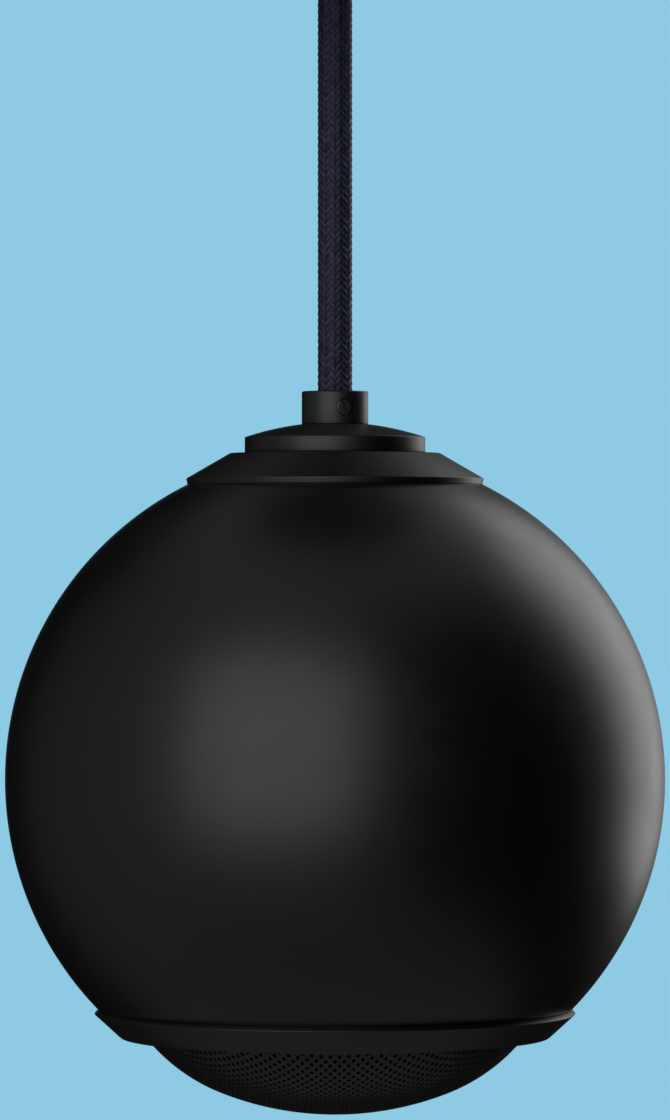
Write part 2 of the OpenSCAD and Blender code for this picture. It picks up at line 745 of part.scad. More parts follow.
module dust_cap() color([0.12, 0.12, 0.13]) at_driver() {
    dust_cap_t = 0.5;
    base_r = dust_cap_d / 2;
    base_z = cap_glue_z - seat_gap;
    dome_r = (pow(base_r, 2) + pow(dust_cap_h, 2)) / (2 * dust_cap_h);
    rotate_extrude() intersection() {
        translate([0, base_z - dust_cap_h]) square([base_r, dust_cap_h]);
        difference() {
            translate([0, base_z - dust_cap_h + dome_r]) circle(r = dome_r);
            translate([0, base_z - dust_cap_h + dome_r]) circle(r = dome_r - dust_cap_t);
        }
    }
}

module spider() color([0.72, 0.58, 0.3]) at_driver() {
    t = 0.5;
    top = ledge_depth - seat_gap;
    rim_in_r = ledge_in_r + fit;
    in_r = former_d / 2 + seat_gap;
    waves = 4;
    steps = 32;
    neck_w = 1.2;
    flat_r = in_r + neck_w;
    radii = [for (i = [0:steps]) flat_r + (rim_in_r - flat_r) * i / steps];
    rotate_extrude() polygon(concat([[ledge_out_r - basket_wall - fit, top]],
        [for (i = [steps:-1:0]) [radii[i], top + ripple(waves * i / steps)]],
        [[in_r, top], [in_r, top - t]],
        [for (i = [0:steps]) [radii[i], top + ripple(waves * i / steps) - t]],
        [[ledge_out_r - basket_wall - fit, top - t]]));
}

module coil_former() color([0.8, 0.72, 0.5]) at_driver() {
    front_z = neck_z - 0.8;
    back_z = coil_z + winding_h + 0.4;
    translate([0, 0, front_z]) ring(former_d / 2, former_d / 2 - former_t, back_z - front_z);
}

module voice_coil() color([0.72, 0.38, 0.16]) at_driver() {
    varnish = 0.01;
    translate([0, 0, coil_z]) ring(coil_r, former_d / 2 + varnish, winding_h);
}

module front_plate() color(STEEL) at_driver()
    translate([0, 0, plate_z]) ring(plate_d / 2, coil_r + air_gap, plate_t);

module magnet() color([0.2, 0.2, 0.21]) at_driver()
    translate([0, 0, magnet_z]) ring(magnet_d / 2, magnet_bore / 2, magnet_t);

module back_yoke() color(STEEL) at_driver() {
    difference() {
        union() {
            translate([0, 0, yoke_z]) cylinder(r = plate_d / 2, h = plate_t);
            translate([0, 0, plate_z]) cylinder(r = pole_r, h = yoke_z - plate_z + cut);
        }
        translate([0, 0, plate_z - cut]) cylinder(r = vent_r, h = driver_end - plate_z + 2 * cut);
    }
}

// Moves a piece to each tab of the terminal strip
module at_tabs() for (side = [-1, 1])
    translate([side * tab_gap / 2, strip_y + strip_l, strip_z + strip_t]) children();

module terminal_strip() color([0.55, 0.42, 0.22]) at_driver() {
    translate([-strip_w / 2, strip_y, strip_z]) cube([strip_w, strip_l, strip_t]);
    at_tabs() translate([-tab_w / 2, -tab_in, 0]) cube([tab_w, tab_in + tab_out, tab_t]);
}

// Each lead leaves its tab, passes outside the strip and the ledge, and enters a window
module tinsel_leads() color(BRASS) at_driver() {
    tinsel_d = 0.8;
    side_x = strip_w / 2 + tinsel_d / 2 + 2 * fit;
    side_r = ledge_out_r + 4;
    side_y = sqrt(pow(side_r, 2) - pow(side_x, 2));
    glue = [4, 15];
    glue_z = cone_height(norm(glue)) + cone_t + tinsel_d / 2 + fit;
    route = [[tab_gap / 2, strip_y + 1.5, tab_top + tinsel_d / 2 + seat_gap],
        [tab_gap / 2 + 2.3, strip_y + 3.3, tab_top + 2 * tinsel_d],
        [side_x, side_y, tab_top - 0.5],
        [side_x, side_y, strip_z],
        [side_x, side_y, window_top + 1],
        [side_x - 1, side_y - 2.4, window_top - 1.6],
        [glue[0] + 1, ledge_in_r + 0.5, window_top - 1.3],
        [glue[0] + 0.6, glue[1] + 3, glue_z],
        [glue[0], glue[1], glue_z]];
    for (side = [0, 1]) mirror([side, 0, 0]) swept(route, tinsel_d, 8);
}

module inner_leads() color([0.75, 0.12, 0.1]) at_sphere() {
    core_x = 1.4;
    straight = 2.6;
    sleeve_y = strip_y + strip_l + sleeve_start + tab_out + sleeve_tail + 2 * seat_gap;
    lead_end = [tab_gap / 2, sleeve_y, driver_z + tab_top - tab_t / 2];
    route = concat([[core_x, 0, CORD_END - 2 * seat_gap], [core_x, 0, CORD_END - straight]],
        INNER_LEAD * shell_in_r, [lead_end + [0, 4, 2.6], lead_end + [0, 1.6, 0], lead_end]);
    for (side = [0, 1]) mirror([side, 0, 0]) swept(route, core_d, 8);
}

// Push-on sleeves over the strip's tabs
module lead_connectors() color(STEEL) at_driver() {
    at_tabs() difference() {
        translate([-tab_w / 2 - sleeve_wall, sleeve_start, -sleeve_wall])
            cube([tab_w + 2 * sleeve_wall, tab_out + sleeve_tail, tab_t + 2 * sleeve_wall]);
        translate([-tab_w / 2 - seat_gap, -cut, -seat_gap])
            cube([tab_w + 2 * seat_gap, tab_out + cut + sleeve_start, tab_t + 2 * seat_gap]);
    }
}

module damping_liner() color([0.8, 0.8, 0.78]) at_sphere() {
    rotate_extrude() intersection() {
        translate([0, liner_low]) square([sphere_r, liner_top - liner_low]);
        difference() {
            circle(r = shell_in_r - fit);
            circle(r = shell_in_r - fit - liner_t);
        }
    }
}

ceiling_bracket();
ceiling_cup();
cup_screws();
terminal_block();
terminal_screws();
block_screw();
rose_leads();
rose_grip();
rose_grip_screw();
rose_washer();
rose_nut();
cord();
cord_grip();
grip_screw();
cap_disc();
base_flange();
shell();
clamp_washer();
clamp_nut();
seat_ring();
bezel();
grille();
front_gasket();
seal_gasket();
driver_frame();
driver_screws();
surround();
cone();
dust_cap();
spider();
coil_former();
voice_coil();
front_plate();
magnet();
back_yoke();
terminal_strip();
tinsel_leads();
inner_leads();
lead_connectors();
damping_liner();
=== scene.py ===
import math
from functools import partial
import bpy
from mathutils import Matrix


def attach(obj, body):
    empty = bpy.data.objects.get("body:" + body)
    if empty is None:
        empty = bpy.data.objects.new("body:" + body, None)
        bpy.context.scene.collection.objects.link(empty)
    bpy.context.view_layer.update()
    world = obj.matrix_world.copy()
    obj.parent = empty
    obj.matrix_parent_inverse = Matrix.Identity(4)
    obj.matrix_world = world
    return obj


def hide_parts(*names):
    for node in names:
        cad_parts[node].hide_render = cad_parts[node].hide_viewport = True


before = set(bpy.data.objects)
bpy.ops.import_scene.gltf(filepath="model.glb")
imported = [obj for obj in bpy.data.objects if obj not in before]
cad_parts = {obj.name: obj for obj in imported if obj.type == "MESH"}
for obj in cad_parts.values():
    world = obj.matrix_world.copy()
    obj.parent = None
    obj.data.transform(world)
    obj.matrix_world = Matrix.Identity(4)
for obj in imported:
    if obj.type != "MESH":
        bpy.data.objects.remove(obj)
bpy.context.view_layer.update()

from types import SimpleNamespace

import bmesh
import bpy
from mathutils import Matrix, Vector

bl_info = {
    "name": "Pendant speaker",
    "version": (1, 0, 0),
    "blender": (4, 5, 0),
    "location": "View3D > Sidebar > Pendant",
    "description": "Dresses the packed frame of a spherical pendant speaker",
    "category": "Object",
}

HANGING = "pendant"
MM = 0.001
# Points closer than this are one point: of any piece, and of the grille's neighbouring tiles
WELD = 1e-7
TILE_WELD = 1e-6
# Faces that meet at more than this keep a sharp edge: on turned pieces, and round the fine holes
SHARP_EDGE = math.radians(32)
HOLE_EDGE = math.radians(45)
# Roughness of the powder coat, which lies smoother on the large sphere than on small pieces
SPHERE_ROUGHNESS = (0.36, 0.4)
FITTINGS_ROUGHNESS = (0.42, 0.46)


def linear(code):
    """Linear RGB of an sRGB hex colour."""
    channels = [int(code[i:i + 2], 16) / 255 for i in (1, 3, 5)]
    return tuple(c / 12.92 if c <= 0.04045 else ((c + 0.055) / 1.055) ** 2.4 for c in channels)


def rgba(code):
    """Linear RGB and a full alpha."""
    return (*linear(code), 1.0)


# Sizes and colours a user may change


def length(name, description, millimetres):
    """A property that holds a length."""
    return bpy.props.FloatProperty(name=name, description=description, default=millimetres * MM,
                                   min=0.0, precision=5, unit="LENGTH")


def count(name, description, default, low, high):
    """A property that holds a whole number."""
    return bpy.props.IntProperty(name=name, description=description, default=default,
                                 min=low, max=high)


def colour(name, description, code):
    """A property that holds a colour."""
    return bpy.props.FloatVectorProperty(name=name, description=description, subtype="COLOR",
                                         min=0.0, max=1.0, default=linear(code))


class SphereSizes(bpy.types.PropertyGroup):
    """Shell and bezel"""
    drop: length("Drop", "Ceiling to the centre of the sphere", 175)
    radius: length("Radius", "Outer radius of the shell", 60)
    wall: length("Wall", "Thickness of the shell", 1.5)
    opening: length("Opening", "Depth of the shell's lower edge below its centre", 41.63)
    bezel_height: length("Bezel height", "Height of the bezel below the shell's edge", 5.2)
    bevel_width: length("Bevel width", "Width of the bezel's bevel", 3.86)
    bead: length("Bead", "Radius of the bead round the bezel", 0.57)
    crest: length("Crest", "Depth of the bead's crest below the shell's edge", 0.88)
    skirt: length("Skirt", "Inner radius of the bezel's skirt", 38.9)
    skirt_wall: length("Skirt wall", "Wall of the bezel's skirt", 1.7)
    skirt_height: length("Skirt height", "Height of the skirt above the shell's edge", 2.2)
    lip: length("Lip", "Depth of the grille's seat below the shell's edge", 2.96)


class TopSizes(bpy.types.PropertyGroup):
    """Conical base flange and domed cap disc"""
    foot: length("Foot", "Radius of the flange where it meets the shell", 26.86)
    edge: length("Edge", "Radius of the flange above its upright edge", 27.08)
    edge_height: length("Edge height", "Height of the flange's upright edge", 1.08)
    ledge: length("Ledge", "Radius at the top of the flange's bevel", 19.1)
    height: length("Height", "Height of the flange", 5.7)
    bore: length("Bore", "Inner radius of the flange", 12.5)
    cap: length("Cap", "Radius of the cap disc", 16.44)
    cap_wall: length("Cap wall", "Height of the cap disc's upright wall", 2.8)
    cap_dome: length("Cap dome", "Radius of the cap disc's domed top", 51.1)
    gap: length("Gap", "Running gap between the fitted pieces", 0.05)
    hole: length("Hole", "Radius of the holes that the grips' stems pass", 5.2)


class GripSizes(bpy.types.PropertyGroup):
    """Turned cord grips and their clamping screws"""
    radius: length("Radius", "Radius of the barrel", 6.05)
    height: length("Height", "Height of the barrel", 6)
    stem: length("Stem", "Radius of the threaded stem", 5)
    lower_stem: length("Lower stem", "Length of the lower grip's stem", 13.6)
    upper_stem: length("Upper stem", "Length of the upper grip's stem", 8)
    bore: length("Bore", "Radius of the bore", 3.35)
    chamfer: length("Chamfer", "Chamfer on the barrel's end", 0.35)
    screw: length("Screw", "Radius of the clamping screw", 1.5)
    screw_length: length("Screw length", "Length of the clamping screw", 2.67)
    slot: length("Slot", "Width of the clamping screw's slot", 0.42)


class GrilleSizes(bpy.types.PropertyGroup):
    """Perforated dome"""
    pitch: length("Pitch", "Distance between neighbouring holes before the sheet is drawn", 1.16)
    hole: length("Hole", "Diameter of one hole", 0.7)
    sheet: length("Sheet", "Thickness of the sheet", 0.8)
    depth: length("Depth", "Depth of the dome below the shell's edge", 19.2)
    crown: length("Crown", "Radius of the crown", 56.4)
    shoulder: length("Shoulder", "Radius of the shoulder", 33)
    mouth: length("Mouth", "Radius of the dome at its rim", 36.1)
    rim: length("Rim", "Outer radius of the flat rim", 38.3)


class CordSizes(bpy.types.PropertyGroup):
    """Braided cord"""
    diameter: length("Diameter", "Diameter of the braided cord", 6.35)
    yarn: length("Yarn", "Diameter of one yarn", 0.28)
    lay: length("Lay", "Length of one turn of a yarn along the cord", 20.4)
    pairs: count("Pairs", "Half the number of yarn bundles each way round", 8, 2, 8)
    yarns: count("Yarns", "Yarns side by side in one bundle", 3, 2, 6)


class RoseSizes(bpy.types.PropertyGroup):
    """Ceiling cup and its side screws"""
    radius: length("Radius", "Outer radius of the cup", 50)
    height: length("Height", "Height of the cup", 25)
    wall: length("Wall", "Wall of the cup", 1)
    round: length("Round", "Radius of the cup's lower edge", 5)
    screw: length("Screw", "Radius of the side screws", 1.5)
    screw_length: length("Screw length", "Length of the side screws", 6)
    screw_drop: length("Screw drop", "Distance of the side screws from the ceiling", 6.5)


class Finishes(bpy.types.PropertyGroup):
    """Main colours"""
    coat: colour("Coat", "Colour of the powder coat", "#070708")
    braid: colour("Braid", "Colour of the cord's yarn", "#14141b")
    backdrop: colour("Backdrop", "Colour behind the speaker", "#8ecae4")
    ground: colour("Floor", "Colour of the floor", "#c9ccce")


def in_mm(name):
    """One of the scene's groups, with its lengths in millimetres."""
    held = getattr(bpy.context.scene, name)
    found = {}
    for entry in held.bl_rna.properties:
        key = entry.identifier
        if key not in ("rna_type", "name"):
            value = getattr(held, key)
            found[key] = value / MM if entry.unit == "LENGTH" else value
    return SimpleNamespace(**found)


def linked(name, data):
    """A new object of a mesh, curve, light or camera, in the scene."""
    made = bpy.data.objects.new(name, data)
    bpy.context.collection.objects.link(made)
    return made


# Nodes and materials


def add(tree, kind, inputs=(), **settings):
    """Adds a node, sets its settings, and gives its inputs a value or a link from a socket."""
    made = tree.nodes.new(kind)
    for key, value in settings.items():
        setattr(made, key, value)
    for key, value in dict(inputs).items():
        if isinstance(value, bpy.types.NodeSocket):
            tree.links.new(value, made.inputs[key])
        else:
            made.inputs[key].default_value = value
    return made


def material(name, colour, metallic=0.0):
    """An empty material with one Principled shader, and that shader."""
    made = bpy.data.materials.new(name)
    made.use_nodes = True
    made.node_tree.nodes.clear()
    surface = add(made.node_tree, "ShaderNodeBsdfPrincipled", {"Base Color": colour,
                                                               "Metallic": metallic})
    add(made.node_tree, "ShaderNodeOutputMaterial", {"Surface": surface.outputs["BSDF"]})
    return made, made.node_tree, surface


def remap(tree, value, span, to=(0.0, 1.0), **settings):
    """Turns one span of a value into another."""
    return add(tree, "ShaderNodeMapRange", {
        "Value": value, "From Min": span[0], "From Max": span[1], "To Min": to[0],
        "To Max": to[1]}, **settings).outputs["Result"]


def blend(tree, share, a, b):
    """A colour between two colours."""
    return add(tree, "ShaderNodeMix", {"Factor": share, "A": a, "B": b},
               data_type="RGBA").outputs["Result"]


def grain(tree, surface, size, depth, roughness, stretch=(1, 1, 1)):
    """Fine relief of a real grain size, and a roughness that drifts between two values over
    patches about eight times as wide."""
    place = add(tree, "ShaderNodeTexCoord").outputs["Object"]
    place = add(tree, "ShaderNodeMapping", {"Vector": place, "Scale": stretch}).outputs[0]
    fine = add(tree, "ShaderNodeTexNoise", {"Vector": place, "Scale": 1 / size, "Detail": 3.0})
    bump = add(tree, "ShaderNodeBump", {"Height": fine.outputs["Fac"], "Distance": depth})
    tree.links.new(bump.outputs["Normal"], surface.inputs["Normal"])
    wide = add(tree, "ShaderNodeTexNoise", {"Vector": place, "Scale": 0.12 / size, "Detail": 2.0})
    drift = remap(tree, wide.outputs["Fac"], (0.3, 0.7), roughness)
    tree.links.new(drift, surface.inputs["Roughness"])


def powder_coat(name, roughness):
    """Polyester powder coat baked on metal: satin black with the faint orange peel of the film."""
    made, tree, surface = material(name, (*in_mm("finishes").coat, 1))
    grain(tree, surface, 0.9 * MM, 0.005 * MM, roughness)
    return made


def turned_black():
    """Black-plated turned brass: satin like the coat, with fine lathe lines round it."""
    made, tree, surface = material("black_plated_turned_brass", rgba("#101012"))
    grain(tree, surface, 0.35 * MM, 0.004 * MM, FITTINGS_ROUGHNESS, stretch=(0.04, 0.04, 1))
    return made


def black_oxide():
    """Steel under a film of black oxide: a little brighter than the coat, with glints on edges."""
    made, tree, surface = material("black_oxide_steel", rgba("#121214"))
    surface.inputs["IOR"].default_value = 1.75
    grain(tree, surface, 0.3 * MM, 0.003 * MM, (0.38, 0.44))
    return made


def maths(tree, operation, a, b=0.0):
    """One step of arithmetic on two numbers or sockets."""
    return add(tree, "ShaderNodeMath", {0: a, 1: b}, operation=operation).outputs[0]


def braid_yarn(name, way, top):
    """Dyed viscose yarn of one set: a lustre from its specular, a painted highlight along the
    middle of each bundle, light and dark bundles, and painted shade in a dark line where two of
    them meet. The pattern follows the set's own turn round the cord."""
    cord = bpy.context.scene.cord
    dye = in_mm("finishes").braid
    made, tree, surface = material(name, (*dye, 1))
    surface.inputs["Specular IOR Level"].default_value = 0.7
    surface.inputs["Specular Tint"].default_value = rgba("#c8c8ff")
    grain(tree, surface, 0.12 * MM, 0.02 * MM, (0.3, 0.4))
    calc = partial(maths, tree)
    place = add(tree, "ShaderNodeTexCoord").outputs["Object"]
    parts = add(tree, "ShaderNodeSeparateXYZ", {"Vector": place}).outputs
    depth = calc("MULTIPLY", calc("ADD", parts["Z"], top), way * 2 * cord.pairs / cord.lay)
    turn = calc("MULTIPLY", calc("ARCTAN2", parts["Y"], parts["X"]), cord.pairs / math.pi)
    across = calc("ADD", turn, depth)
    bundle = calc("ROUND", across)
    off_middle = calc("SUBTRACT", across, bundle)
    # Painted crest highlight and painted gap shade: 1 along the middle of a bundle, and 0 where it
    # meets the next one
    squared = calc("MULTIPLY", off_middle, off_middle)
    painted_crest_and_gap = calc("SUBTRACT", 1.0, calc("MULTIPLY", 4.0, squared))
    own = add(tree, "ShaderNodeTexWhiteNoise", {
        "W": calc("FLOORED_MODULO", bundle, 2 * cord.pairs)}, noise_dimensions="1D")
    # Single fibres are too fine to show, so the light and dark ones are drawn this wide
    fibre_width = 0.8 * MM
    fibre = add(tree, "ShaderNodeTexNoise", {"Vector": place, "Scale": 1 / fibre_width})
    bundle_part, fibre_part = 0.35, 1.1
    mixed = calc("ADD", calc("MULTIPLY", own.outputs["Value"], bundle_part),
                 calc("MULTIPLY", fibre.outputs["Fac"], fibre_part))
    # Random bundle and fibre tones, times the painted crest highlight and gap shade
    share = remap(tree, calc("MULTIPLY", mixed, painted_crest_and_gap), (0.25, 0.9))
    # The darkest and the lightest tone, as parts of the dye; the span holds the random tones and
    # also the painted crest highlight and gap shade
    dark, light = ((*(c * part for c in dye), 1) for part in (0.05, 6))
    tree.links.new(blend(tree, share, dark, light), surface.inputs["Base Color"])
    return made


def rubber_core():
    """Rubber sheath under the braid: nearly black and dull, seen only between yarns."""
    made, tree, surface = material("rubber_sheath", rgba("#08080c"))
    grain(tree, surface, 0.2 * MM, 0.01 * MM, (0.75, 0.85))
    return made


# Finishes of the pieces that come straight from the frame, and what gives each its look: its
# nodes, sRGB colour, metallic, range of roughness, size and depth of the grain in millimetres, and
# the grain's stretch where it has one
PLAIN_FINISHES = {
    # Bright passivated zinc with a fine cloudy drift
    "zinc_plated_steel": (("ceiling_bracket", "block_screw", "rose_washer", "rose_nut",
                           "clamp_washer", "clamp_nut", "front_plate", "back_yoke",
                           "lead_connectors"),
                          "#b9bcc0", 1.0, (0.28, 0.42), 0.5, 0.003),
    # Black zinc on cross-recessed screws
    "black_zinc_steel": (("driver_screws",), "#55565a", 1.0, (0.3, 0.45), 0.3, 0.003),
    # Off-white moulding with a faint sheen
    "moulded_polyamide": (("terminal_block",), "#dcdcd6", 0.0, (0.4, 0.5), 0.4, 0.006),
    # Drawn brass, yellow and slightly dulled
    "turned_brass": (("terminal_screws",), "#c9a052", 1.0, (0.25, 0.4), 0.3, 0.003),
    # Smooth extruded insulation
    "extruded_vinyl_insulation": (("rose_leads", "inner_leads"),
                                  "#b3201a", 0.0, (0.3, 0.4), 0.8, 0.004),
    # Dipped black coat over pressed steel
    "dipped_black_steel": (("seat_ring", "driver_frame"), "#232326", 0.0, (0.4, 0.5), 0.5, 0.006),
    # Fine cells cut open at the surface
    "closed_cell_foam": (("front_gasket", "seal_gasket"), "#1c1c1d", 0.0, (0.8, 0.95), 0.25, 0.05),
    # Moulded rubber with a dull bloom
    "butyl_rubber": (("surround",), "#161617", 0.0, (0.55, 0.65), 0.6, 0.006),
    # Felted fibres pressed in a mould
    "pressed_cone_paper": (("cone", "dust_cap"),
                           "#202022", 0.0, (0.75, 0.9), 0.35, 0.05, (1, 1, 0.3)),
    # Resin-stiffened open cloth
    "impregnated_cotton": (("spider",), "#b48a3c", 0.0, (0.7, 0.85), 0.4, 0.08),
    # Rolled brown card
    "kraft_card": (("coil_former",), "#c8ab78", 0.0, (0.7, 0.8), 0.3, 0.01),
    # Wound wire under clear enamel, its turns one above the other
    "enamelled_copper": (("voice_coil", "tinsel_leads"),
                         "#b5622a", 1.0, (0.2, 0.3), 0.25, 0.03, (0.02, 0.02, 1)),
    # Dull grey sintered grain
    "sintered_ferrite": (("magnet",), "#2b2b2d", 0.0, (0.55, 0.7), 0.7, 0.02),
    # Laminated board with its fibres along one way
    "phenolic_fibre_board": (("terminal_strip",),
                             "#7d5a2c", 0.0, (0.5, 0.6), 0.4, 0.02, (1, 0.3, 1)),
    # Loose white fibres with deep hollows
    "polyester_wadding": (("damping_liner",), "#d9d9d4", 0.0, (0.9, 1.0), 1.5, 0.6),
}


def plain_finish(name, code, metallic, roughness, size, depth, *stretch):
    """One of the finishes above."""
    made, tree, surface = material(name, rgba(code), metallic)
    grain(tree, surface, size * MM, depth * MM, roughness, *stretch)
    return made


# Shapes, with outlines of (r, z) points in millimetres


def arc(centre_r, centre_z, radius, start, end, steps):
    """Points of an arc in the half plane, its angles in degrees from the outward direction."""
    turns = [math.radians(start + (end - start) * i / steps) for i in range(steps + 1)]
    return [(centre_r + radius * math.cos(t), centre_z + radius * math.sin(t)) for t in turns]


def height_angle(radius, height):
    """Angle in degrees at which an arc of a radius reaches a height above its centre."""
    return math.degrees(math.asin(height / radius))


def width_angle(radius, width):
    """Angle in degrees at which an arc of a radius is so far from its axis."""
    return math.degrees(math.acos(width / radius))


def rounded(corners, steps=5):
    """A closed outline from corners (r, z) or (r, z, fillet)."""
    outline = []
    for i, corner in enumerate(corners):
        point = Vector(corner[:2])
        if len(corner) == 2:
            outline.append(tuple(point))
            continue
        before = (Vector(corners[i - 1][:2]) - point).normalized()
        after = (Vector(corners[(i + 1) % len(corners)][:2]) - point).normalized()
        half = before.angle(after) / 2
        centre = point + (before + after).normalized() * corner[2] / math.sin(half)
        first = point + before * corner[2] / math.tan(half) - centre
        sweep = first.angle_signed(point + after * corner[2] / math.tan(half) - centre)
        for k in range(steps + 1):
            turned = first.copy()
            turned.rotate(Matrix.Rotation(-sweep * k / steps, 2))
            outline.append(tuple(centre + turned))
    return outline


def finish_mesh(name, mesh, surface):
    """An object of a mesh with outward faces, smooth shading and sharp corners."""
    work = bmesh.new()
    work.from_mesh(mesh)
    bmesh.ops.remove_doubles(work, verts=work.verts, dist=WELD)
    bmesh.ops.recalc_face_normals(work, faces=work.faces)
    work.to_mesh(mesh)
    work.free()
    mesh.shade_smooth()
    mesh.set_sharp_from_angle(angle=SHARP_EDGE)
    mesh.materials.clear()
    mesh.materials.append(surface)
    return linked(name, mesh)


def lathe(name, outline, surface, lift=0.0, segments=192):
    """A closed outline in millimetres, moved up by lift and turned about the vertical axis."""
    verts = []
    rings = []
    on_axis = 1e-4
    for r, z in outline:
        if r < on_axis:
            rings.append([len(verts)] * segments)
            verts.append((0, 0, (z + lift) * MM))
            continue
        rings.append(range(len(verts), len(verts) + segments))
        turns = [2 * math.pi * k / segments for k in range(segments)]
        verts += [(r * MM * math.cos(t), r * MM * math.sin(t), (z + lift) * MM) for t in turns]
    faces = []
    for i, low in enumerate(rings):
        high = rings[(i + 1) % len(rings)]
        for k in range(segments):
            m = (k + 1) % segments
            face = list(dict.fromkeys((low[k], low[m], high[m], high[k])))
            if len(face) > 2:
                faces.append(face)
    mesh = bpy.data.meshes.new(name)
    mesh.from_pydata(verts, [], faces)
    return finish_mesh(name, mesh, surface)


def plain_mesh(source):
    """The mesh of an object with its modifiers applied."""
    return bpy.data.meshes.new_from_object(source.evaluated_get(
        bpy.context.evaluated_depsgraph_get()))


def cut_away(target, cutters):
    """Cuts closed meshes out of a piece, and returns the finished piece."""
    for cutter in cutters:
        step = target.modifiers.new("cut", "BOOLEAN")
        step.object = cutter
        step.operation = "DIFFERENCE"
        step.solver = "EXACT"
    name, surface, shape = target.name, target.data.materials[0], plain_mesh(target)
    for old in (target, *cutters):
        bpy.data.objects.remove(old)
    return finish_mesh(name, shape, surface)


def placed(made, matrix):
    """Puts a piece's place into its mesh."""
    made.data.transform(matrix)
    return made


def lifted(z):
    """A move along the vertical axis, in millimetres."""
    return Matrix.Translation((0, 0, z * MM))


def turned_to(angle, axis):
    """A turn in degrees."""
    return Matrix.Rotation(math.radians(angle), 4, axis)


def hang(made, slot, *nodes):
    """Hangs a piece on the hanging body, and hides the nodes that it stands for."""
    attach(made, HANGING)
    if nodes:
        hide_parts(*nodes)


# Heights on the cord's straight hanging route, from inside the rose to inside the sphere, metres
CORD_ROUTE = (-0.014, -0.03, -0.046, -0.062, -0.078, -0.094, -0.11, -0.128)


class PENDANT_OT_camera(bpy.types.Operator):
    """Places the camera level with the upper part of the sphere"""
    bl_idname = "pendant.camera"
    bl_label = "Camera"
    distance: length("Distance", "From the cord's axis to the camera", 1074)
    rise: length("Rise", "Height above the sphere's centre", 39.9)
    focal: length("Focal length", "Focal length of the lens", 189.64)
    sensor: length("Sensor", "Longer side of the sensor", 36)

    def execute(self, context):
        data = bpy.data.cameras.new("camera")
        data.sensor_width = self.sensor / MM
        data.lens = self.focal / MM
        made = linked("camera", data)
        made.location = (0, -self.distance, self.rise - context.scene.sphere.drop)
        made.rotation_euler = (math.pi / 2, 0, 0)
        context.scene.camera = made
        return {"FINISHED"}


def start_tree(name, sockets):
    """A tree with geometry in and out, named inputs of the kinds given, and a finish."""
    tree = bpy.data.node_groups.new(name, "GeometryNodeTree")
    face = tree.interface
    given = {"Geometry": "Geometry", **sockets, "Finish": "Material"}
    for label, kind in given.items():
        face.new_socket(label, in_out="INPUT", socket_type="NodeSocket" + kind)
    face.new_socket("Geometry", in_out="OUTPUT", socket_type="NodeSocketGeometry")
    return tree, add(tree, "NodeGroupInput").outputs


def end_tree(tree, shape, finish):
    """Gives the shape its finish and hands it out."""
    coated = add(tree, "GeometryNodeSetMaterial", {"Geometry": shape, "Material": finish})
    add(tree, "NodeGroupOutput", {"Geometry": coated.outputs["Geometry"]})
    return tree


def braid_tree():
    """Turns the yarns of two bundles into tubes and repeats them round the cord."""
    tree, given = start_tree("braid_bundles", {"Yarn radius": "Float", "Pairs": "Int"})
    profile = add(tree, "GeometryNodeCurvePrimitiveCircle", {"Resolution": 6,
                                                             "Radius": given["Yarn radius"]})
    tubes = add(tree, "GeometryNodeCurveToMesh", {"Curve": given["Geometry"],
                                                  "Profile Curve": profile.outputs["Curve"],
                                                  "Fill Caps": True})
    points = add(tree, "GeometryNodePoints", {"Count": given["Pairs"]})
    index = add(tree, "GeometryNodeInputIndex").outputs["Index"]
    turn = maths(tree, "MULTIPLY", maths(tree, "DIVIDE", index, given["Pairs"]), 2 * math.pi)
    spin = add(tree, "ShaderNodeCombineXYZ", {"Z": turn})
    bundles = add(tree, "GeometryNodeInstanceOnPoints", {"Points": points.outputs[0],
                                                         "Instance": tubes.outputs["Mesh"],
                                                         "Rotation": spin.outputs["Vector"]})
    whole = add(tree, "GeometryNodeRealizeInstances", {"Geometry": bundles.outputs["Instances"]})
    return end_tree(tree, whole.outputs["Geometry"], given["Finish"])


def run_nodes(name, source, tree, inputs):
    """Runs a tree on an object and leaves its result as an object with a plain mesh."""
    step = source.modifiers.new("nodes", "NODES")
    step.node_group = tree
    for item in tree.interface.items_tree:
        if item.in_out == "INPUT" and item.name in inputs:
            step[item.identifier] = inputs[item.name]
    shape = plain_mesh(source)
    bpy.data.objects.remove(source)
    shape.name = name
    return linked(name, shape)


def line_curve(name, lines):
    """A curve with one straight-stepped spline along each line of points (x, y, z)."""
    data = bpy.data.curves.new(name, "CURVE")
    data.dimensions = "3D"
    for line in lines:
        spline = data.splines.new("POLY")
        spline.points.add(len(line) - 1)
        spline.points.foreach_set("co", [v for point in line for v in (*point, 1)])
    return data


